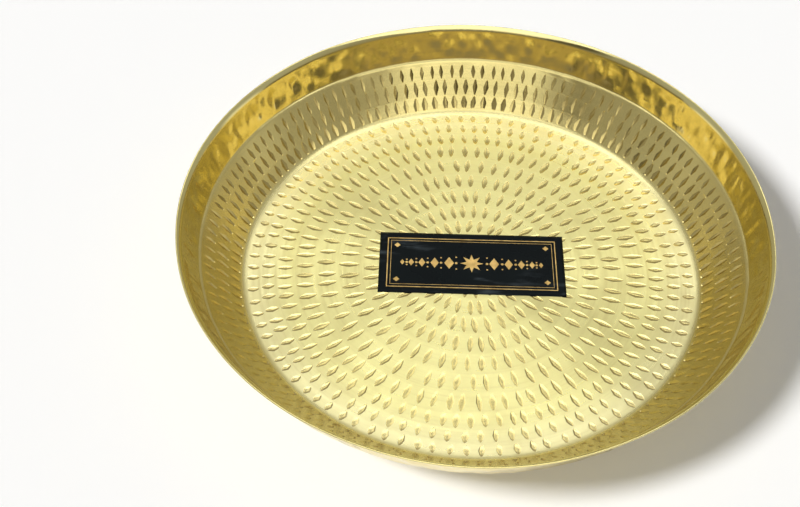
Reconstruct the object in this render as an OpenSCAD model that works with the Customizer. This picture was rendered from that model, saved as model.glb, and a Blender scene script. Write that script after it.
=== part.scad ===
// Dough kneading plate: a wide hammered dish raised from one brass sheet,
// with a flared lip round its collar and a film label on its floor.
// Millimetres, +Z up, origin at the centre of the underside.

/* [Rim] */
// Outside diameter over the edge of the lip
rim_d = 310; // [302:1:330]
// Overall height, from the underside to the top of the lip
rim_h = 45.5; // [38:0.5:60]

/* [Sheet] */
// Thickness of the brass sheet
sheet_t = 0.9; // [0.6:0.1:1.6]

/* [Floor] */
// Diameter of the flat floor
floor_d = 243; // [200:1:260]
// Inside radius of the bend from the floor up into the wall
floor_bend_r = 5; // [2:0.5:12]

/* [Ledge] */
// Width of the plain ledge that the wall turns into below the crease
ledge_w = 2.6; // [2:0.1:4]
// Slope of the ledge, in degrees from level
ledge_angle = 28; // [10:1:40]
// Inside radius of the shoulder where the wall turns into the ledge
shoulder_r = 3; // [2:0.1:4]

/* [Crease] */
// Inside diameter at the crease between the ledge and the collar
crease_d = 290.8; // [280:0.2:296]
// Height of the crease above the underside
crease_h = 26.8; // [18:0.2:34]
// Inside radius of the crease
crease_bend_r = 1; // [0.5:0.1:2]

/* [Lip] */
// Width of the flared lip
lip_w = 3.2; // [2:0.1:5]
// Slope of the lip, in degrees from level
lip_angle = 50; // [20:1:58]
// Inside radius of the bend from the collar out into the lip
lip_bend_r = 2; // [1.7:0.1:4]

/* [Label] */
// Width of the label
label_w = 102; // [40:1:140]
// Depth of the label
label_l = 43.5; // [20:0.5:80]
// Thickness of the label's film
label_t = 0.12; // [0.05:0.01:0.3]
// Offset of the label to the right of the floor's centre
label_dx = 1; // [-20:0.5:20]
// Offset of the label behind the floor's centre
label_dy = 1.5; // [-20:0.5:20]

/* [Hidden] */
$fn = 180;
// Largest turn of one facet along a bend, in degrees
facet_turn = 7.5;
brass = [0.80, 0.71, 0.38];
black_film = [0.09, 0.10, 0.09];

// Corners of the sheet's upper face, where its straight stretches would meet
edge_r = sheet_t/2;
edge_c = [rim_d/2 - edge_r, rim_h - edge_r];
lip_p = along(along(edge_c, edge_r, lip_angle + 90), -lip_w, lip_angle);
crease_p = [crease_d/2, crease_h];
shoulder_p = along(crease_p, -ledge_w, ledge_angle);

// Slope of the wall, as a tangent from the floor's bend to the shoulder
floor_bend_c = [floor_d/2, sheet_t + floor_bend_r];
wall_run = shoulder_p - floor_bend_c;
wall_angle = atan2(wall_run[1], wall_run[0]) + asin(floor_bend_r/norm(wall_run));

// Slope of the collar, from the crease to the lip
collar_run = lip_p - crease_p;
collar_angle = atan2(collar_run[1], collar_run[0]);

// Upper face of the sheet, as points with the sheet's slope at each, up to its rounded edge
upper_face = concat(
    [[0, sheet_t, 0]],
    arc(floor_bend_c, floor_bend_r, 0, wall_angle),
    corner(shoulder_p, shoulder_r, wall_angle, ledge_angle),
    corner(crease_p, crease_bend_r, ledge_angle, collar_angle),
    corner(lip_p, lip_bend_r, collar_angle, lip_angle),
    arc(edge_c, edge_r, lip_angle, lip_angle - 90)
);

// The point at a distance from p in direction a
function along(p, distance, a) = p + distance*[cos(a), sin(a)];

// Points round centre c from slope a0 to slope a1, on the side that the bend turns from
function arc(c, r, a0, a1) =
    let (steps = ceil(abs(a1 - a0)/facet_turn), side = a1 > a0 ? -90 : 90)
    [for (i = [0:steps])
        let (a = a0 + (a1 - a0)*i/steps, p = along(c, r, a + side))
        [p[0], p[1], a]];

// The bend that rounds off corner p, where slope a0 turns to slope a1
function corner(p, r, a0, a1) =
    let (cut = r*tan(abs(a1 - a0)/2), side = a1 > a0 ? 90 : -90)
    arc(along(along(p, -cut, a0), r, a0 + side), r, a0, a1);

// The sheet's edge is the last bend turned on to its lower face
module sheet_section() {
    upper = [for (s = upper_face) [s[0], s[1]]];
    lower = [for (s = upper_face) along([s[0], s[1]], sheet_t, s[2] - 90)];
    polygon(concat(upper, [for (i = [len(lower) - 1:-1:0]) lower[i]]));
}

// Floor, wall, ledge, collar and lip, all one sheet
module dish() {
    color(brass)
    rotate_extrude()
    sheet_section();
}

// Film stuck flat on the floor
module label() {
    color(black_film)
    translate([label_dx, label_dy, sheet_t])
    linear_extrude(label_t)
    square([label_w, label_l], center = true);
}

dish();
label();
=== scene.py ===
import math
import random

import bmesh
import bpy
from mathutils import Euler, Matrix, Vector, noise
from mathutils.bvhtree import BVHTree


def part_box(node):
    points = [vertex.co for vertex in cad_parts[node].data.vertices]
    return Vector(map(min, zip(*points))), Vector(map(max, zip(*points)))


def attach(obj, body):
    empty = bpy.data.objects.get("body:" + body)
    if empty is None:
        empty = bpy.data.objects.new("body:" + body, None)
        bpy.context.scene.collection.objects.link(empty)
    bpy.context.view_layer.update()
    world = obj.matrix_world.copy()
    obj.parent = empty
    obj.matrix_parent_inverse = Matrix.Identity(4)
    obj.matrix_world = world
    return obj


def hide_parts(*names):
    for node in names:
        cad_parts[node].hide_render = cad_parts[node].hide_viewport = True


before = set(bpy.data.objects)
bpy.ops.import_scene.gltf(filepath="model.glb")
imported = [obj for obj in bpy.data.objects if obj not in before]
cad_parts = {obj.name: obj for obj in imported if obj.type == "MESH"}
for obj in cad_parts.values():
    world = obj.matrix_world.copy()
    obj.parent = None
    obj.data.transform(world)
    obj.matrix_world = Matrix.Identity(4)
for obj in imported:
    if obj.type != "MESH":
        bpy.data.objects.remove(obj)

mm = 0.001
fullTurn = 2 * math.pi
scene = bpy.context.scene
scene.view_settings.view_transform = "Standard"
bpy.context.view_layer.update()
labelLow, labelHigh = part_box("label")
print("frame loaded:", sorted(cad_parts))


# camera
viewCamera = {
    "lens": 54.0,  # mm, on a 36 mm sensor
    "place": (-29.4, -431.9, 500.8),  # mm
    "turn": (41.33, -0.39, 1.65),  # degrees
}


def setCamera(c):
    data = bpy.data.cameras.new("camera")
    data.lens = c["lens"]
    data.sensor_width = 36.0
    data.clip_start = 0.01
    camera = bpy.data.objects.new("camera", data)
    camera.location = Vector(c["place"]) * mm
    camera.rotation_euler = Euler([math.radians(a) for a in c["turn"]])
    scene.collection.objects.link(camera)
    scene.camera = camera


setCamera(viewCamera)
print("camera set")


# node helpers
def newMaterial(name):
    material = bpy.data.materials.new(name)
    material.use_nodes = True
    material.node_tree.nodes.clear()
    return material, material.node_tree


def addNode(tree, kind, links=None, **settings):
    node = tree.nodes.new(kind)
    for key, value in settings.items():
        setattr(node, key, value)
    for socket, source in (links or {}).items():
        if isinstance(source, bpy.types.NodeSocket):
            tree.links.new(source, node.inputs[socket])
        else:
            node.inputs[socket].default_value = source
    return node


def mathNode(tree, operation, a, b=0.0):
    return addNode(tree, "ShaderNodeMath", {0: a, 1: b}, operation=operation).outputs[0]


def rampNode(tree, factor, stops):
    node = addNode(tree, "ShaderNodeValToRGB", {"Fac": factor})
    elements = node.color_ramp.elements
    while len(elements) < len(stops):
        elements.new(0.5)
    for element, (place, value) in zip(elements, stops):
        element.position = place
        element.color = (*value, 1) if isinstance(value, tuple) else (value, value, value, 1)
    return node.outputs["Color"]


def fadeIn(tree, factor, span):
    return rampNode(tree, factor, [(span[0], 0.0), (span[1], 1.0)])


def fadeOut(tree, factor, span):
    return rampNode(tree, factor, [(span[0], 1.0), (span[1], 0.0)])


def mixColor(tree, factor, a, b):
    node = addNode(tree, "ShaderNodeMix", data_type="RGBA")
    for socket, source in (("Factor", factor), ("A", a), ("B", b)):
        if isinstance(source, bpy.types.NodeSocket):
            tree.links.new(source, node.inputs[socket])
        else:
            node.inputs[socket].default_value = source
    return node.outputs["Result"]


def noiseNode(tree, place, scale, detail, roughness=0.5):
    links = {"Vector": place, "Scale": scale, "Detail": detail, "Roughness": roughness}
    return addNode(tree, "ShaderNodeTexNoise", links).outputs["Fac"]


def stretchNode(tree, place, scale):
    return addNode(tree, "ShaderNodeMapping", {"Vector": place, "Scale": scale}).outputs["Vector"]


def timesNode(tree, a, b):
    return mathNode(tree, "MULTIPLY", a, b)


def showShader(tree, shader):
    output = addNode(tree, "ShaderNodeOutputMaterial")
    tree.links.new(shader.outputs[0], output.inputs["Surface"])


def newPiece(name, bm, material, smooth=True):
    mesh = bpy.data.meshes.new(name)
    bm.to_mesh(mesh)
    bm.free()
    for polygon in mesh.polygons:
        polygon.use_smooth = smooth
    mesh.materials.append(material)
    piece = bpy.data.objects.new(name, mesh)
    scene.collection.objects.link(piece)
    return piece


# the brass sheet's section, as corners of its upper face in mm: radius, height, bend
dishSheet = {
    "thickness": 0.9,
    "floorThickness": 0.62,  # thinner than the solid's, so that the marks' backs clear the table
    "thicken": (4, 3),  # begins before the floor's bend and ends after it
    "corners": [
        (0, 0.9, 0),
        (123.85, 0.9, 5),  # floor to wall
        (144.3, 26.21, 1.5),  # wall to ledge
        (145.4, 26.8, 0.6),  # ledge to collar
        (152.15, 42.89, 2),  # collar to lip
        (154.2, 45.34, 0),
    ],
    "stretches": ["floor", "floorBend", "wall", "shoulder", "ledge", "crease", "collar", "lipBend", "lip"],
    "columns": {  # faces round each plain band, above and below
        "floorBend": (552, 276),
        "crease": (528, 352),
        "collar": (528, 352),
        "lip": 400,
    },
}


def laySection(d):
    corners = d["corners"]
    slopes = [math.atan2(b[1] - a[1], b[0] - a[0]) for a, b in zip(corners, corners[1:])]
    section, s, cut = [], 0.0, 0.0
    r, z = corners[0][:2]
    for i, slope in enumerate(slopes):
        length = math.dist(corners[i][:2], corners[i + 1][:2]) - cut
        turn = slopes[i + 1] - slope if i + 1 < len(slopes) else 0.0
        bend = corners[i + 1][2]
        cut = bend * math.tan(abs(turn) / 2)
        section.append((s, r, z, slope, 0.0))
        r += (length - cut) * math.cos(slope)
        z += (length - cut) * math.sin(slope)
        s += length - cut
        if turn:
            curve = math.copysign(1 / bend, turn)
            section.append((s, r, z, slope, curve))
            s += bend * abs(turn)
            r += (math.sin(slope + turn) - math.sin(slope)) / curve
            z -= (math.cos(slope + turn) - math.cos(slope)) / curve
    return section, s


section, sheetRun = laySection(dishSheet)
startOf = dict(zip(dishSheet["stretches"], [stretch[0] for stretch in section]))


def upperAt(s):
    reached = (stretch for stretch in reversed(section) if s >= stretch[0] or not stretch[0])
    start, r, z, slope, curve = next(reached)
    t = s - start
    if not curve:
        return r + t * math.cos(slope), z + t * math.sin(slope), slope
    end = slope + curve * t
    return r + (math.sin(end) - math.sin(slope)) / curve, z - (math.cos(end) - math.cos(slope)) / curve, end


def easeStep(low, high, x):
    t = min(max((x - low) / (high - low), 0.0), 1.0)
    return t * t * (3 - 2 * t)


def lowerAt(s):
    r, z, slope = upperAt(s)
    thin, thick = dishSheet["floorThickness"], dishSheet["thickness"]
    before, after = dishSheet["thicken"]
    t = thin + (thick - thin) * easeStep(startOf["floorBend"] - before, startOf["wall"] + after, s)
    return r + t * math.sin(slope), z - t * math.cos(slope), slope


# hammer marks, in mm
floorMarks = {
    "rings": [  # radius, count
        (18, 20), (29.5, 32), (41, 40), (53.5, 51), (66, 58),
        (78, 64), (91.5, 80), (102, 91), (111, 92), (119, 92),
    ],
    "inner": 12.0,
    "outer": 122.6,
    "longest": 11.4,
    "clear": 0.7,  # at least, between two rings
    "width": 3.9,
    "depth": 0.25,
    "taper": 2.2,  # how the width falls off towards the ends
    "shelve": 2.6,  # how the depth falls off towards the ends
    "round": 1.6,  # across, 1 is a straight-sided groove and 2 a round one
    "shortest": 0.86,
    "trough": 0.09,  # each ring lies in a shallow trough
    "pinch": 0.86,  # how pointed the inner end is
    "lean": 0.0,
    "jitter": 0.13,
    "seed": 11,
}
wallMarks = {
    "rows": [  # from and to as shares of the wall, count, width, how pointed below
        (0.0, 0.31, 134, 3.8, 0.45),
        (0.31, 0.65, 136, 3.1, 0.86),
        (0.65, 0.94, 140, 2.7, 0.86),
    ],
    "clear": 0.3,
    "depth": 0.56,
    "taper": 2.2,
    "shelve": 16.0,
    "round": 1.2,
    "shortest": 0.93,
    "trough": 0.0,
    "lean": 0.5,  # shallower towards the top
    "jitter": 0.08,
    "seed": 23,
}
hammerHand = {  # how unevenly the hammer falls
    "tilt": 3.5,  # degrees
    "widths": (0.85, 1.12),
    "depths": (0.7, 1.15),
}
floorTile = {
    "columns": [None, -1, -0.6, -0.2, 0.2, 0.6, 1],
    "rows": [None, -1, -0.72, 0, 0.72, 1, None],
    "sharp": ([-1, 1], [-1, 1]),  # columns and rows whose edges are crisp
}
wallTile = {
    "columns": [None, -1, -0.6, 0, 0.6, 1],
    "rows": [None, -1, -0.88, 0, 0.88, 1, None],
    "sharp": ([-1, 0, 1], [-1, -0.88, 0.88, 1]),
}
coarseTile = {
    "columns": [None, -1, 0, 1],
    "rows": [None, 1, 0, -1, None],  # from the rim inwards
    "sharp": ([], []),
}
seamGap = 0.12  # half of the narrow strip that joins two rings
markMargin = 0.25  # kept clear at each end when a mark shifts
endFall = 0.6  # how fast a mark's floor drops at its ends
levelSlope = 0.1  # below it, a stretch of the sheet counts as floor
outerPinch = 0.86  # how pointed a mark's outer end is
backShare = 0.85  # of a mark's depth, seen under the sheet


def strikeRing(rng, s0, s1, count, length, width, m):
    marks = []
    first = rng.random()
    jitter = m["jitter"]
    for k in range(count):
        spare = (s1 - s0 - length) / 2 - markMargin
        reach = length * rng.uniform(m["shortest"], 1.0) / 2
        marks.append({
            "angle": fullTurn * (k + first + rng.uniform(-jitter, jitter)) / count,
            "s": (s0 + s1) / 2 + rng.uniform(-1, 1) * max(spare, 0.0),
            "reach": reach,
            "half": width * rng.uniform(*hammerHand["widths"]) / 2,
            "tilt": math.radians(rng.gauss(0, hammerHand["tilt"])),
            "depth": m["depth"] * rng.uniform(*hammerHand["depths"]),
        })
    return {"s0": s0 + seamGap, "s1": s1 - seamGap, "marks": marks, "shape": m}


def strikeFloor(f):
    rng = random.Random(f["seed"])
    radii = [ring[0] for ring in f["rings"]]
    borders = [f["inner"]] + [(a + b) / 2 for a, b in zip(radii, radii[1:])] + [f["outer"]]
    rings = []
    for (radius, count), s0, s1 in zip(f["rings"], borders, borders[1:]):
        length = min(f["longest"], s1 - s0 - f["clear"])
        rings.append(strikeRing(rng, s0, s1, count, length, f["width"], f))
    return rings


def strikeWall(w):
    rng = random.Random(w["seed"])
    low, high = startOf["wall"], startOf["shoulder"]
    rings = []
    for a, b, count, width, pinch in w["rows"]:
        s0, s1 = low + a * (high - low), low + b * (high - low)
        rings.append(strikeRing(rng, s0, s1, count, s1 - s0 - w["clear"], width, {**w, "pinch": pinch}))
    return rings


# bands of the sheet, rolled up from a grid
def rollBand(points, steps):
    bm = bmesh.new()
    rows = len(points) - 1
    bmesh.ops.create_grid(bm, x_segments=steps, y_segments=rows, size=0.5)
    rowOf, columnOf = bm.verts.layers.int.new("row"), bm.verts.layers.int.new("column")
    bm.verts.layers.float.new("dent")
    for vert in bm.verts:
        row, column = round((vert.co.y + 0.5) * rows), round((vert.co.x + 0.5) * steps) % steps
        r, z = points[row]
        angle = fullTurn * column / steps
        vert.co = (r * math.cos(angle), r * math.sin(angle), z)
        vert[rowOf], vert[columnOf] = row, column
    bmesh.ops.remove_doubles(bm, verts=bm.verts, dist=0.0001)
    return bm


def markPoint(ring, tile, row, column):
    marks, shape = ring["marks"], ring["shape"]
    k, j = divmod(column, len(tile["columns"]))
    mark, before, after = marks[k], marks[k - 1], marks[(k + 1) % len(marks)]
    low = mark["angle"] - ((mark["angle"] - before["angle"]) % fullTurn) / 2
    high = mark["angle"] + ((after["angle"] - mark["angle"]) % fullTurn) / 2
    u, v = tile["columns"][j], tile["rows"][row]
    if v is None:  # the band's own edge
        s = ring["s0"] if row == 0 else ring["s1"]
        return low + (high - low) * j / len(tile["columns"]), s, 0.0
    if u is None:  # half way to the mark before
        s = (mark["s"] + before["s"]) / 2 + v * (mark["reach"] + before["reach"]) / 2
        return low, s, 0.0
    pinch = shape["pinch"] if v < 0 else outerPinch
    x = u * mark["half"] * (1 - pinch * abs(v) ** shape["taper"])  # pointed at the ends
    y = v * mark["reach"]
    s = mark["s"] + y * math.cos(mark["tilt"]) + x * math.sin(mark["tilt"])
    across = x * math.cos(mark["tilt"]) - y * math.sin(mark["tilt"])
    sink = (1 - abs(u) ** shape["round"]) * (1 - abs(v) ** shape["shelve"]) ** endFall
    sink *= 1 - shape["lean"] * (v + 1) / 2
    return mark["angle"] + across / upperAt(s)[0], s, mark["depth"] * sink


def rollMarks(ring, tile, side):
    steps = len(ring["marks"]) * len(tile["columns"])
    bm = rollBand([(100.0 + row, 0.0) for row in range(len(tile["rows"]))], steps)
    rowOf, columnOf = bm.verts.layers.int["row"], bm.verts.layers.int["column"]
    dentOf = bm.verts.layers.float["dent"]
    for vert in bm.verts:
        angle, s, sink = markPoint(ring, tile, vert[rowOf], vert[columnOf])
        r, z, slope = upperAt(s) if side == "upper" else lowerAt(s)
        vert[dentOf] = sink
        if side == "upper":
            across = 2 * (s - ring["s0"]) / (ring["s1"] - ring["s0"]) - 1
            sink += ring["shape"]["trough"] * (1 - across * across)
        else:
            sink *= backShare
            sink = min(sink, z) if slope < levelSlope else sink  # not below the table
        r += sink * math.sin(slope)
        z -= sink * math.cos(slope)
        vert.co = (r * math.cos(angle), r * math.sin(angle), z)
    sharpColumns, sharpRows = tile["sharp"]
    for edge in bm.edges:
        us = [tile["columns"][vert[columnOf] % len(tile["columns"])] for vert in edge.verts]
        vs = [tile["rows"][vert[rowOf]] for vert in edge.verts]
        if None in us or None in vs:
            continue
        along = us[0] == us[1] and us[0] in sharpColumns
        across = vs[0] == vs[1] and vs[0] in sharpRows
        edge.smooth = not (along or across)
    return bm


def spread(a, b, count):
    return [a + (b - a) * i / (count - 1) for i in range(count)]


# hand work that the whole sheet shows, in mm
handWork = {
    "driftSeed": 7,
    "floorDrift": 1.5,  # how far the rings wander
    "floorSwell": 0.10,
    "floorLift": 0.35,  # the floor turns up a little towards its edge
    "backLift": 0.9,  # and more at the back
    "creaseFlats": 0.22,
    "collarMarks": 130,  # oval planishing marks
    "collarSeed": 5,
    "collarWidths": (2.6, 4.4),
    "collarLevels": (30, 39.5),
    "collarLengths": (1.0, 1.7),  # of the width
    "collarShares": (0.4, 1.0),  # of the depth
    "collarDepth": 0.5,
    "collarSwell": 0.35,
    "collarBow": -0.15,  # less steep at the crease than at the lip
    "lipRoll": 0.25,
    "rimSwell": 0.5,
    "upperFrom": 0.3,  # the floor's underside lies below
    "collarFoot": 26.8,
    "collarHeight": 16.1,
}
workSpans = {  # radii over which each kind of work comes in or goes out
    "middle": (8, 24),
    "floorEnd": (112, 122),
    "lift": (98.0, 123.0),
    "liftEnd": (123, 132),
    "wall": (122, 130),
    "crease": (142, 144.5),
    "creaseEnd": (147, 150),
    "collar": (146, 147.5),
    "collarEnd": (152, 153.5),
    "lip": (152.2, 154.3),
    "rim": (146, 154),
    "back": (0.1, 0.85),  # not a radius but a share of the way to the back
}
workWaves = {  # length of one wave, and its layer of the noise
    "drift": (34, 3.1),
    "floor": (42, 9.7),
    "collar": (60, 1.3),
    "crease": (8, 5.2),
    "rim": (75, 7.7),
}


def strikeCollar(h):
    rng = random.Random(h["collarSeed"])
    marks = []
    for k in range(h["collarMarks"]):
        angle = fullTurn * (k + rng.uniform(-0.45, 0.45)) / h["collarMarks"]
        half = rng.uniform(*h["collarWidths"])
        level = rng.uniform(*h["collarLevels"])
        tall = half * rng.uniform(*h["collarLengths"])
        marks.append((angle, level, half, tall, rng.uniform(*h["collarShares"])))
    return marks


def waveSpot(name, x, y):
    length, layer = workWaves[name]
    return Vector((x / length, y / length, layer))


def workSheet(bm, h):
    def grows(name, at):
        return easeStep(*workSpans[name], at)

    liftFrom, liftTo = workSpans["lift"]
    lipFrom, lipTo = workSpans["lip"]
    collarMarks = strikeCollar(h)
    noise.seed_set(h["driftSeed"])  # noise_vector follows the clock without it
    for vert in bm.verts:
        x, y, z = vert.co
        r = math.hypot(x, y)
        if r < 0.01:  # the middle points stay
            continue
        flat = 1 - grows("floorEnd", r)
        drift = noise.noise_vector(waveSpot("drift", x, y)) * h["floorDrift"] * (grows("middle", r) * flat)
        x, y = x + drift.x, y + drift.y
        if z > h["upperFrom"]:
            z += noise.noise(waveSpot("floor", x, y)) * h["floorSwell"] * flat
        lift = h["floorLift"] + h["backLift"] * grows("back", y / r)
        lifted = max(0.0, min(r, liftTo) - liftFrom) / (liftTo - liftFrom)
        z += lift * lifted ** 2 * (1 - grows("liftEnd", r))
        out = Vector((x, y, 0)).normalized()
        swell = noise.noise(waveSpot("collar", x, y)) * h["collarSwell"] * grows("wall", r)
        crease = grows("crease", r) * (1 - grows("creaseEnd", r))
        swell += noise.noise(waveSpot("crease", x, y)) * h["creaseFlats"] * crease
        collar = grows("collar", r) * (1 - grows("collarEnd", r))
        if collar:
            angle = math.atan2(y, x)
            for at, level, wide, tall, deep in collarMarks:
                aside = ((angle - at + math.pi) % fullTurn - math.pi) * r / wide
                if abs(aside) < 1:
                    inside = max(0.0, 1 - aside * aside - ((z - level) / tall) ** 2)
                    swell += inside * inside * deep * h["collarDepth"] * collar
        rise = min(max((z - h["collarFoot"]) / h["collarHeight"], 0.0), 1.0)
        swell -= 4 * h["collarBow"] * rise * (1 - rise)
        if r > lipFrom:
            z += max(0.0, (r - lipFrom) * (lipTo - r)) * h["lipRoll"]
        x, y = x + out.x * swell, y + out.y * swell
        z += noise.noise(waveSpot("rim", x, y)) * h["rimSwell"] * grows("rim", r)
        vert.co = (x, y, z)


def buildDish():
    s, gap, edge = startOf, seamGap, dishSheet["thickness"] / 2
    columns = dishSheet["columns"]
    floorRings, wallRings = strikeFloor(floorMarks), strikeWall(wallMarks)

    def roundEdge(t):  # over the lip's edge, from the upper to the lower face
        r, z, slope = upperAt(sheetRun)
        a = slope + math.pi / 2 - t
        return r + edge * (math.sin(slope) + math.cos(a)), z + edge * (math.sin(a) - math.cos(slope))

    def plain(stations, at, steps):
        return rollBand([at(t)[:2] for t in stations], steps)

    def backMarks(ring):  # the same marks, standing out under the sheet
        return rollMarks({**ring, "s0": ring["s1"], "s1": ring["s0"]}, coarseTile, "lower")

    floorEnd, wallEnd = floorMarks["outer"], wallRings[-1]["s1"]
    bands = [rollMarks(ring, floorTile, "upper") for ring in floorRings]
    bands.append(plain(spread(floorEnd + gap, s["wall"] - gap, 6), upperAt, columns["floorBend"][0]))
    bands += [rollMarks(ring, wallTile, "upper") for ring in wallRings]
    stations = spread(wallEnd + gap, s["ledge"], 5) + [(s["ledge"] + s["crease"]) / 2]
    stations += spread(s["crease"], s["collar"], 5) + [s["collar"] + 0.6]
    bands.append(plain(stations, upperAt, columns["crease"][0]))
    bands.append(plain(spread(s["collar"] + 1, s["lipBend"] - 0.2, 10), upperAt, columns["collar"][0]))
    stations = spread(s["lipBend"], s["lip"], 3) + spread(s["lip"] + 0.8, sheetRun - 0.1, 3)
    points = [upperAt(t)[:2] for t in stations] + [roundEdge(t) for t in spread(0, math.pi, 7)]
    bands.append(rollBand(points + [lowerAt(t)[:2] for t in reversed(stations)], columns["lip"]))
    bands.append(plain(spread(s["lipBend"] - 0.3, s["collar"] + 0.8, 7), lowerAt, columns["collar"][1]))
    stations = spread(s["collar"] + 0.4, s["crease"], 4) + spread(s["ledge"], wallEnd + gap, 4)
    bands.append(plain(stations, lowerAt, columns["crease"][1]))
    bands += [backMarks(ring) for ring in reversed(wallRings)]
    bands.append(plain(spread(s["wall"] - gap, floorEnd + gap, 4), lowerAt, columns["floorBend"][1]))
    bands += [backMarks(ring) for ring in reversed(floorRings)]
    print("dish bands turned:", len(bands))

    bm = bmesh.new()
    for number, band in enumerate(bands):
        bandOf = band.verts.layers.int.new("band")
        for vert in band.verts:
            vert[bandOf] = number
        mesh = bpy.data.meshes.new("band")
        band.to_mesh(mesh)
        band.free()
        bm.from_mesh(mesh)
        bpy.data.meshes.remove(mesh)
    bandOf, rowOf = bm.verts.layers.int["band"], bm.verts.layers.int["row"]
    rings = {}
    for e in bm.edges:
        a, b = e.verts
        if a[bandOf] == b[bandOf] and a[rowOf] == b[rowOf]:
            rings.setdefault(a[bandOf], {}).setdefault(a[rowOf], []).append(e)
    for number in range(1, len(bands)):
        bmesh.ops.bridge_loops(bm, edges=rings[number - 1][max(rings[number - 1])] + rings[number][0])
    last = rings[len(bands) - 1]
    for rim in (rings[0][0], last[max(last)]):  # the middle of each face, closed with a fan
        middle = bmesh.ops.contextual_create(bm, geom=rim)["faces"]
        bmesh.ops.poke(bm, faces=middle)
    workSheet(bm, handWork)
    bmesh.ops.scale(bm, vec=(mm, mm, mm), verts=bm.verts)
    bmesh.ops.recalc_face_normals(bm, faces=bm.faces)
    loose = sum(len(e.link_faces) != 2 for e in bm.edges)
    triangles = sum(len(face.verts) - 2 for face in bm.faces)
    print("dish joined:", len(bm.verts), "points,", triangles, "triangles,", loose, "open edges")
    return bm


# brass
brassFinish = {
    "floorColor": (0.935, 0.875, 0.4, 1),
    "edgeSheenColor": (0.95, 0.89, 0.48, 1),  # painted sheen: the floor turns paler and brighter towards its edge, in place of the brighter reflection there
    # painted shade: the wall and collar take darker copies of the floor's brass, standing in for their
    # deeper reflections; the lip goes paler again
    "wallShadeColor": (0.81, 0.69, 0.285, 1),
    "collarShadeColor": (0.79, 0.655, 0.255, 1),
    "lipColor": (0.90, 0.81, 0.38, 1),
    "tarnish": (0.58, 0.45, 0.16, 1),
    "patchTint": 0.22,  # how far each takes on the tarnish
    "dentTint": 0.6,
    "lineTint": 0.22,
    "floorRough": 0.31,
    "wallRough": 0.20,
    "collarRough": 0.09,
    "dentRough": 0.145,
    "anisotropic": 0.94,
    "linePitch": 900.0,  # turning lines, per metre
    "streaks": (150.0, 150.0, 22.0),  # on the collar, per metre
    "streakDepth": 0.0008,
    "grainDepth": 0.0006,
    "edgeSpan": (0.8, 0.93),  # of 125 mm from the axis
    "wallSpan": (0.02, 0.08),  # of 50 mm up, as are the next two
    "collarSpan": (0.53, 0.56),
    "lipSpan": (0.85, 0.88),
    "dentSpan": (0.0, 0.06),  # mm deep
}


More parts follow.
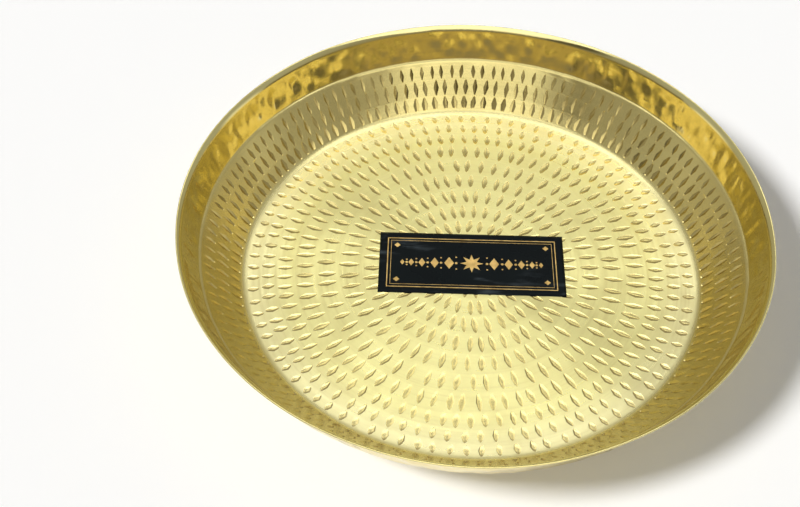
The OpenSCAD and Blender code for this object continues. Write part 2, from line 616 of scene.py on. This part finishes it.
def makeBrass(b):
    def plainGrey(value):
        return value, value, value, 1

    material, tree = newMaterial("hammered_brass")
    place = addNode(tree, "ShaderNodeTexCoord").outputs["Object"]
    split = addNode(tree, "ShaderNodeSeparateXYZ", {"Vector": place}).outputs
    x, y = split["X"], split["Y"]
    square = mathNode(tree, "ADD", timesNode(tree, x, x), timesNode(tree, y, y))
    radius = mathNode(tree, "SQRT", square)
    around = mathNode(tree, "ARCTAN2", y, x)
    height = timesNode(tree, split["Z"], 20.0)  # 1 at 50 mm
    edgeSheenMask = fadeIn(tree, timesNode(tree, radius, 8.0), b["edgeSpan"])  # 1 at 125 mm
    wallMask = fadeIn(tree, height, b["wallSpan"])
    collarMask = fadeIn(tree, height, b["collarSpan"])
    lipMask = fadeIn(tree, height, b["lipSpan"])
    dent = addNode(tree, "ShaderNodeAttribute", attribute_name="dent").outputs["Fac"]
    dentMask = fadeIn(tree, dent, b["dentSpan"])

    # turning lines round the axis
    lines = addNode(tree, "ShaderNodeCombineXYZ", {
        "X": timesNode(tree, radius, b["linePitch"]),
        "Y": timesNode(tree, around, 2.5),
        "Z": timesNode(tree, split["Z"], b["linePitch"]),
    })
    turning = noiseNode(tree, lines.outputs["Vector"], 1.0, 3.0, 0.6)
    mottle = noiseNode(tree, place, 38.0, 5.0, 0.62)
    grain = noiseNode(tree, place, 700.0, 2.0)

    # painted sheen: the floor's brass turns paler and brighter towards its edge
    color = mixColor(tree, edgeSheenMask, b["floorColor"], b["edgeSheenColor"])
    # painted shade: darker brass on the wall and collar, paler again on the lip
    color = mixColor(tree, wallMask, color, b["wallShadeColor"])
    color = mixColor(tree, collarMask, color, b["collarShadeColor"])
    color = mixColor(tree, lipMask, color, b["lipColor"])
    patches = rampNode(tree, mottle, [(0.45, 0.0), (0.75, b["patchTint"])])
    color = mixColor(tree, patches, color, b["tarnish"])
    color = mixColor(tree, timesNode(tree, dentMask, b["dentTint"]), color, b["tarnish"])
    dull = rampNode(tree, turning, [(0.5, 0.0), (0.8, b["lineTint"])])
    color = mixColor(tree, dull, color, b["tarnish"])

    rough = mixColor(tree, wallMask, plainGrey(b["floorRough"]), plainGrey(b["wallRough"]))
    rough = mixColor(tree, collarMask, rough, plainGrey(b["collarRough"]))
    rough = mixColor(tree, dentMask, rough, plainGrey(b["dentRough"]))
    uneven = mathNode(tree, "ADD", timesNode(tree, turning, 0.6), timesNode(tree, mottle, 0.4))
    rough = timesNode(tree, rough, mathNode(tree, "ADD", uneven, 0.5))

    # upright streaks on the collar, and a fine grain all over
    streaks = noiseNode(tree, stretchNode(tree, place, b["streaks"]), 1.0, 1.0)
    plain = rampNode(tree, height, [(0.54, 0.0), (0.62, 1.0), (0.76, 1.0), (0.83, 0.0)])
    streaks = timesNode(tree, mathNode(tree, "SUBTRACT", streaks, 0.5), plain)
    streaked = addNode(tree, "ShaderNodeBump", {
        "Height": streaks,
        "Strength": 1.0,
        "Distance": b["streakDepth"],
    }).outputs["Normal"]
    grained = addNode(tree, "ShaderNodeBump", {
        "Height": mathNode(tree, "ADD", timesNode(tree, turning, 0.6), grain),
        "Strength": 0.025,
        "Distance": b["grainDepth"],
        "Normal": streaked,
    }).outputs["Normal"]

    tangent = addNode(tree, "ShaderNodeTangent", direction_type="RADIAL", axis="Z").outputs["Tangent"]
    showShader(tree, addNode(tree, "ShaderNodeBsdfPrincipled", {
        "Base Color": color,
        "Metallic": 1.0,
        "Roughness": rough,
        "Anisotropic": b["anisotropic"],
        "Anisotropic Rotation": 0.25,
        "Tangent": tangent,
        "Normal": grained,
    }))
    return material


brass = makeBrass(brassFinish)
dish = newPiece("hammered_dish", buildDish(), brass)
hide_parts("dish")
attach(dish, "root")


# label film
labelFilm = {
    "cells": (68, 29),
    "settle": 60,  # smoothing passes over the marks below
    "ease": 0.6,  # of each pass
    "feel": 0.4 * mm,  # how far round each point the floor is felt for
    "clear": 0.01 * mm,  # between the film and the highest land
    "colors": [(0.3, (0.002, 0.004, 0.005)), (0.75, (0.004, 0.007, 0.008))],
    # painted glints: lighter streaks on the black film, standing in for light caught on its creases
    "glintColor": (0.06, 0.075, 0.085, 1),
    "gloss": [(0.3, 0.22), (0.7, 0.36)],
    "specular": 0.07,
}


def makeFilm(f):
    material, tree = newMaterial("black_film")
    place = addNode(tree, "ShaderNodeTexCoord").outputs["Object"]
    haze = noiseNode(tree, place, 60.0, 4.0)
    streaks = noiseNode(tree, stretchNode(tree, place, (45.0, 210.0, 1.0)), 1.0, 3.0)
    patches = noiseNode(tree, place, 22.0, 1.0)
    streaks = rampNode(tree, streaks, [(0.52, 0.0), (0.75, 1.0)])
    # painted glints: lighter streaks laid over the film's own dark tone
    glints = timesNode(tree, streaks, rampNode(tree, patches, [(0.5, 0.0), (0.62, 0.8)]))
    showShader(tree, addNode(tree, "ShaderNodeBsdfPrincipled", {
        "Base Color": mixColor(tree, glints, rampNode(tree, haze, f["colors"]), f["glintColor"]),
        "Roughness": rampNode(tree, haze, f["gloss"]),
        "Specular IOR Level": f["specular"],
    }))
    return material


def dropOn(tree, x, y):  # height of the surface below a spot
    return tree.ray_cast(Vector((x, y, 0.02)), Vector((0, 0, -1)))[0].z


def buildFilm(f, tree):
    steps = (-f["feel"], 0, f["feel"])

    def highest(spot):
        return max(dropOn(tree, spot.x + dx, spot.y + dy) for dx in steps for dy in steps)

    bm = bmesh.new()
    nx, ny = f["cells"]
    bmesh.ops.create_grid(bm, x_segments=nx, y_segments=ny, size=0.5)
    size = labelHigh - labelLow
    middle = (labelHigh + labelLow) / 2
    bmesh.ops.scale(bm, vec=(size.x, size.y, 1), verts=bm.verts)
    bmesh.ops.translate(bm, vec=middle, verts=bm.verts)
    for vert in bm.verts:
        vert.co.z = highest(vert.co)
    for i in range(f["settle"]):
        bmesh.ops.smooth_vert(bm, verts=bm.verts, factor=f["ease"], use_axis_z=True)
    raised = max(highest(vert.co) - vert.co.z for vert in bm.verts) + f["clear"]
    bmesh.ops.translate(bm, vec=(0, 0, raised), verts=bm.verts)
    bmesh.ops.solidify(bm, geom=bm.faces[:], thickness=-(labelHigh.z - labelLow.z))
    bmesh.ops.recalc_face_normals(bm, faces=bm.faces)
    return bm


view = bpy.context.evaluated_depsgraph_get()
dishTree = BVHTree.FromObject(dish, view)
film = newPiece("label_film", buildFilm(labelFilm, dishTree), makeFilm(labelFilm))
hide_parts("label")
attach(film, "root")
print("label laid on the floor")


# label print, a plain pattern in mm from the label's middle
labelPrint = {
    "lift": 0.03,
    "thickness": 0.02,
    "frames": [(46.4, 17.6, 0.5), (44.6, 15.8, 0.25)],  # half width, half height, line
    "corners": (41.2, 12.4, 1.7),  # place across and up, half size
    "rosette": (6.4, 3.0),  # radius of its points and hollows
    "row": [(12.4, 4.3), (20.4, 3.7), (27.4, 3.1), (33.3, 2.5), (38.2, 1.9)],  # place, half height
    "slim": 0.62,  # a lozenge's width, of its height
    "gap": 1.25,
    "dot": 0.75,
    "smallDot": 0.5,
    "colors": [(0.3, (0.52, 0.33, 0.10)), (0.7, (0.86, 0.60, 0.21))],
    "gloss": [(0.3, 0.55), (0.7, 0.38)],
    "specular": 0.2,
}


def makePrint(p):
    material, tree = newMaterial("gold_print")
    place = addNode(tree, "ShaderNodeTexCoord").outputs["Object"]
    worn = noiseNode(tree, place, 260.0, 3.0)
    showShader(tree, addNode(tree, "ShaderNodeBsdfPrincipled", {
        "Base Color": rampNode(tree, worn, p["colors"]),
        "Roughness": rampNode(tree, worn, p["gloss"]),
        "Specular IOR Level": p["specular"],
    }))
    return material


def buildPrint(p, tree):
    bm = bmesh.new()

    def put(shape, x, y, wide, tall):
        bmesh.ops.scale(bm, vec=(wide, tall, 1), verts=shape["verts"])
        bmesh.ops.translate(bm, vec=(x, y, 0), verts=shape["verts"])

    def spot(x, y, wide, tall, sides):  # a disc, or a lozenge with four sides
        put(bmesh.ops.create_circle(bm, cap_ends=True, segments=sides, radius=1), x, y, wide, tall)

    def rule(x, y, wide, tall):
        columns, rows = (40, 1) if wide > tall else (1, 16)
        put(bmesh.ops.create_grid(bm, x_segments=columns, y_segments=rows, size=0.5), x, y, wide, tall)

    for wide, tall, line in p["frames"]:
        for side in (-1, 1):
            rule(0, side * tall, 2 * wide + line, line)
            rule(side * wide, 0, line, 2 * tall - line)
    wide, tall, half = p["corners"]
    for x in (-wide, wide):
        for y in (-tall, tall):
            spot(x, y, half, half, 4)
    outer, inner = p["rosette"]
    shape = bmesh.ops.create_circle(bm, cap_ends=True, segments=16, radius=1)
    for i, vert in enumerate(shape["verts"]):
        vert.co *= outer if i % 2 == 0 else inner
    for x, half in p["row"]:
        for side in (-1, 1):
            between = side * (x - p["slim"] * half - p["gap"])
            spot(side * x, 0, half * p["slim"], half, 4)
            spot(between, 0, p["dot"], p["dot"], 10)
            for level in (-1, 1):
                spot(between, level * half, p["smallDot"], p["smallDot"], 8)
    bmesh.ops.scale(bm, vec=(mm, mm, mm), verts=bm.verts)
    bmesh.ops.translate(bm, vec=(labelHigh + labelLow) / 2, verts=bm.verts)
    bmesh.ops.poke(bm, faces=[face for face in bm.faces if len(face.verts) > 4])
    for vert in bm.verts:
        vert.co.z = dropOn(tree, vert.co.x, vert.co.y) + p["lift"] * mm
    bmesh.ops.recalc_face_normals(bm, faces=bm.faces)
    bmesh.ops.solidify(bm, geom=bm.faces[:], thickness=p["thickness"] * mm)
    bmesh.ops.recalc_face_normals(bm, faces=bm.faces)
    return bm


view = bpy.context.evaluated_depsgraph_get()
filmTree = BVHTree.FromObject(film, view)
printed = newPiece("label_print", buildPrint(labelPrint, filmTree), makePrint(labelPrint), smooth=False)
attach(printed, "root")
print("label printed")


# floor and light
studio = {
    "worldFront": (0.27, 0.25, 0.21),
    "worldSide": (0.42, 0.42, 0.41),
    "worldBack": (0.38, 0.36, 0.31),
    "worldTop": (0.46, 0.46, 0.46, 1),
    "worldGlow": (0.9, 0.88, 0.82, 1),  # low on both sides
    "worldShade": (0.15, 0.13, 0.08, 1),  # low on both sides, in front
    "worldFlag": (0.10, 0.09, 0.07, 1),  # a dark board beside the front softbox
    "flagSide": (-0.46, -0.68, 0.57),
    "worldLow": (0.33, 0.275, 0.165),  # in front, above the worktop's edge
    "worldWarm": (0.52, 0.41, 0.165),  # the worktop's edge
    "topUp": (0.92, 0.985),  # where each part of the room comes in or goes out: up,
    "lowUp": (0.18, 0.4),
    "warmUp": (0.09, 0.2),
    "shadeUp": (0.16, 0.3),
    "glowUp": (0.16, 0.32),
    "shadeAside": (0.6, 0.8),  # to both sides,
    "glowAside": (0.78, 0.92),
    "lowBack": (0.25, 0.5),  # and from front to back
    "shadeBack": (0.41, 0.47),
    "glowBack": [(0.43, 0.0), (0.48, 1.0), (0.57, 1.0), (0.63, 0.0)],
    "flagNear": (0.955, 0.985),  # to the middle of the dark board
    "floorColor": (0.9, 0.9, 0.9, 1),
    "floorGlow": 0.15,  # seen by the camera and in reflections
    "floorSize": 20,
    "floorDrop": 0.2 * mm,
    "softboxes": [  # overhead, from the front to the back
        {"place": (0.06, -1.3, 1.5), "size": (2.1, 1.8), "level": 1.12},
        {"place": (0.05, -0.05, 1.5), "size": (1.7, 0.7), "level": 0.2},
        {"place": (0.03, 0.5, 1.5), "size": (1.3, 0.38), "level": 2.45},
        {"place": (0.1, 0.93, 1.5), "size": (0.62, 0.48), "level": 0.15},  # dim, with brighter ends
        {"place": (-0.415, 0.93, 1.5), "size": (0.41, 0.48), "level": 0.9},
        {"place": (0.56, 0.93, 1.5), "size": (0.3, 0.48), "level": 0.55},
        {"place": (0.03, 1.27, 1.5), "size": (1.3, 0.2), "level": 1.4},
        {"place": (-0.42, 1.43, 1.5), "size": (0.44, 0.2), "level": 0.98},
        {"place": (0.53, 1.43, 1.5), "size": (0.48, 0.2), "level": 0.98},
    ],
    "worldDiffuse": 0.5,  # the room's share in the floor's light
    "sun": {"azimuth": 200, "elevation": 47, "angle": 14, "level": 3.1},
}


def aimedFrom(azimuth, elevation, distance):
    a, e = math.radians(azimuth), math.radians(elevation)
    return Vector((math.cos(a) * math.cos(e), math.sin(a) * math.cos(e), math.sin(e))) * distance


def addLamp(name, kind, spot, **settings):
    data = bpy.data.lights.new(name, kind)
    for key, value in settings.items():
        setattr(data, key, value)
    lamp = bpy.data.objects.new(name, data)
    lamp.location = spot
    lamp.rotation_euler = spot.to_track_quat("Z", "Y").to_euler()
    scene.collection.objects.link(lamp)
    return lamp


def setWorld(s):
    world = bpy.data.worlds.new("studio")
    world.use_nodes = True
    tree = world.node_tree
    ray = addNode(tree, "ShaderNodeTexCoord").outputs["Generated"]
    split = addNode(tree, "ShaderNodeSeparateXYZ", {"Vector": ray}).outputs
    up = split["Z"]
    aside = mathNode(tree, "ABSOLUTE", split["X"])
    back = mathNode(tree, "ADD", timesNode(tree, split["Y"], 0.5), 0.5)  # 0 in front, 1 behind
    color = rampNode(tree, back, [(0.1, s["worldFront"]), (0.45, s["worldSide"]), (0.9, s["worldBack"])])
    color = mixColor(tree, fadeIn(tree, up, s["topUp"]), color, s["worldTop"])

    low = fadeOut(tree, up, s["lowUp"])
    low = timesNode(tree, low, fadeOut(tree, back, s["lowBack"]))
    edge = rampNode(tree, up, list(zip(s["warmUp"], (s["worldWarm"], s["worldLow"]))))
    color = mixColor(tree, low, color, edge)

    shade = fadeOut(tree, up, s["shadeUp"])
    shade = timesNode(tree, shade, fadeIn(tree, aside, s["shadeAside"]))
    shade = timesNode(tree, shade, fadeOut(tree, back, s["shadeBack"]))
    color = mixColor(tree, shade, color, s["worldShade"])

    glow = fadeOut(tree, up, s["glowUp"])
    glow = timesNode(tree, glow, fadeIn(tree, aside, s["glowAside"]))
    strip = rampNode(tree, back, s["glowBack"])
    color = mixColor(tree, timesNode(tree, glow, strip), color, s["worldGlow"])

    flag = addNode(tree, "ShaderNodeVectorMath", {0: ray, 1: s["flagSide"]}, operation="DOT_PRODUCT")
    flag = fadeIn(tree, flag.outputs["Value"], s["flagNear"])
    color = mixColor(tree, flag, color, s["worldFlag"])

    background = tree.nodes["Background"].inputs
    tree.links.new(color, background["Color"])
    matte = addNode(tree, "ShaderNodeLightPath").outputs["Is Diffuse Ray"]
    strength = mathNode(tree, "SUBTRACT", 1.0, timesNode(tree, matte, 1.0 - s["worldDiffuse"]))
    tree.links.new(strength, background["Strength"])
    scene.world = world


def hangLamps(s):
    for box in s["softboxes"]:
        wide, long = box["size"]
        panel = addLamp("softbox", "AREA", Vector(box["place"]), shape="RECTANGLE", size=wide, size_y=long,
                        energy=box["level"] * math.pi * wide * long)
        panel.rotation_euler = (0, 0, 0)
        panel.visible_diffuse = False
    sun = s["sun"]
    spot = aimedFrom(sun["azimuth"], sun["elevation"], 3)
    lamp = addLamp("sun", "SUN", spot, angle=math.radians(sun["angle"]), energy=sun["level"])
    lamp.visible_glossy = False


def layFloor(s):
    material, tree = newMaterial("pale_floor")
    ray = addNode(tree, "ShaderNodeLightPath").outputs
    seen = mathNode(tree, "MAXIMUM", ray["Is Camera Ray"], ray["Is Glossy Ray"])
    seen = mathNode(tree, "MAXIMUM", seen, ray["Is Transmission Ray"])
    glow = addNode(tree, "ShaderNodeEmission", {"Strength": timesNode(tree, seen, s["floorGlow"])})
    shader = addNode(tree, "ShaderNodeBsdfDiffuse", {"Color": s["floorColor"]})
    both = addNode(tree, "ShaderNodeAddShader", {0: shader.outputs["BSDF"], 1: glow.outputs["Emission"]})
    showShader(tree, both)
    bm = bmesh.new()
    bmesh.ops.create_grid(bm, x_segments=1, y_segments=1, size=s["floorSize"])
    bmesh.ops.translate(bm, vec=(0, 0, -s["floorDrop"]), verts=bm.verts)
    floor = newPiece("pale_floor", bm, material, smooth=False)


setWorld(studio)
hangLamps(studio)
layFloor(studio)
print("studio lit")
